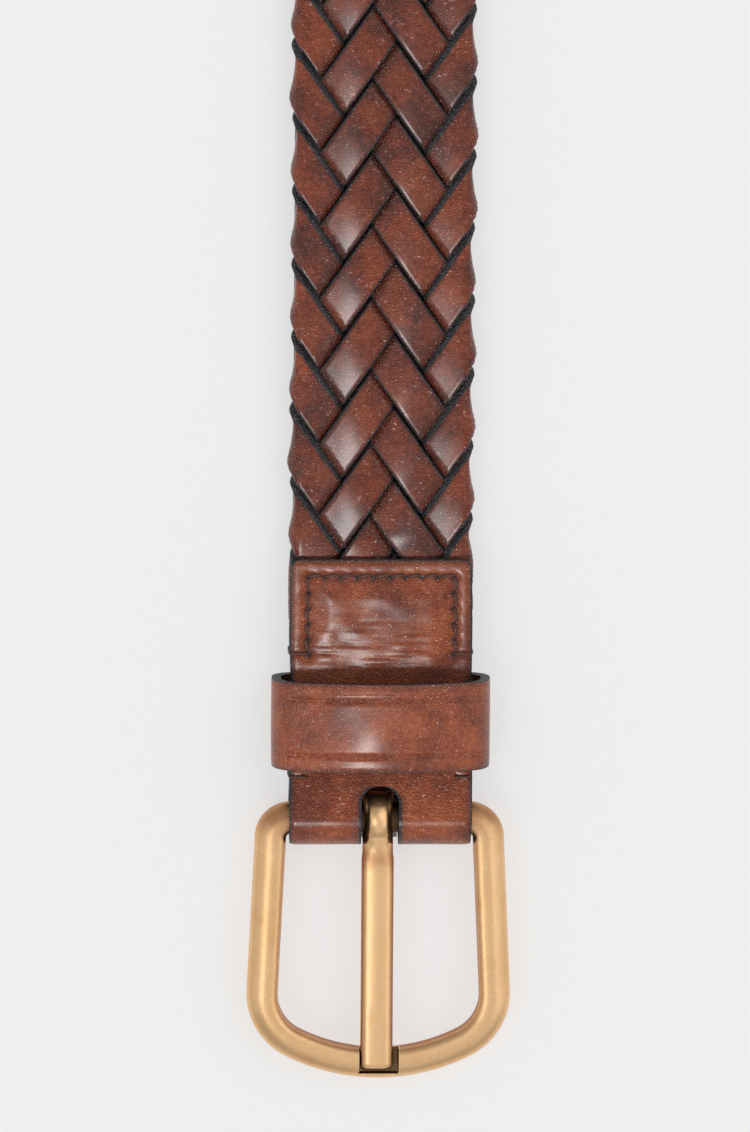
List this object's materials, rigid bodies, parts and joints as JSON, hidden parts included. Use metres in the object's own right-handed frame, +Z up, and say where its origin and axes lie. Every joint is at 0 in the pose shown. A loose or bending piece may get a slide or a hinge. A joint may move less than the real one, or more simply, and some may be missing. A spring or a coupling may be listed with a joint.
{
  "type": "braided leather belt",
  "caption": "Men's leather belt: strap plaited from flat laces, with a stitched buckle tab, a leather keeper, a brass frame buckle with a hinged prong, and a sewn leather tip.",
  "frame": {"origin": "centre of the belt's footprint, on the surface it lies on", "axes": "+Y along the belt from the buckle towards the tip, +Z up out of the belt's face, X across the belt"},
  "size_m": [0.0514, 1.05, 0.015],
  "materials": {
    "brass": "satin antique brass",
    "leather": "smooth waxed leather with dark painted edges",
    "lace_leather": "smooth waxed laces, dark edges",
    "dark_leather": "raw filler leather, dark",
    "thread": "waxed dark brown thread"
  },
  "bodies": {
    "strap": {"tab_leather": "leather", "tab_core": "dark_leather", "tab_stitching": "thread", "tab_tacks": "thread", "lace_1": "lace_leather", "lace_2": "lace_leather", "lace_3": "lace_leather", "lace_4": "lace_leather", "lace_5": "lace_leather", "lace_6": "lace_leather", "lace_7": "lace_leather", "tip_front": "leather", "tip_back": "leather", "tip_core": "dark_leather", "tip_stitching": "thread"},
    "buckle": {"buckle_frame": "brass"},
    "prong": {"prong": "brass"},
    "keeper": {"keeper_band": "leather", "keeper_thread": "thread"}
  },
  "joints": [
    {"name": "buckle_pivot", "type": "hinge", "parent": "strap", "child": "buckle", "pos_m": [0, -0.473, 0.00535], "axis": [-1, 0, 0], "range_deg": [-90, 25]},
    {"name": "prong_pivot", "type": "hinge", "parent": "buckle", "child": "prong", "pos_m": [0, -0.473, 0.00535], "axis": [-1, 0, 0], "range_deg": [0, 90]},
    {"name": "keeper_slide", "type": "slide", "parent": "strap", "child": "keeper", "axis": [0, 1, 0], "range_m": [-0.0013, 0.0013]}
  ]
}
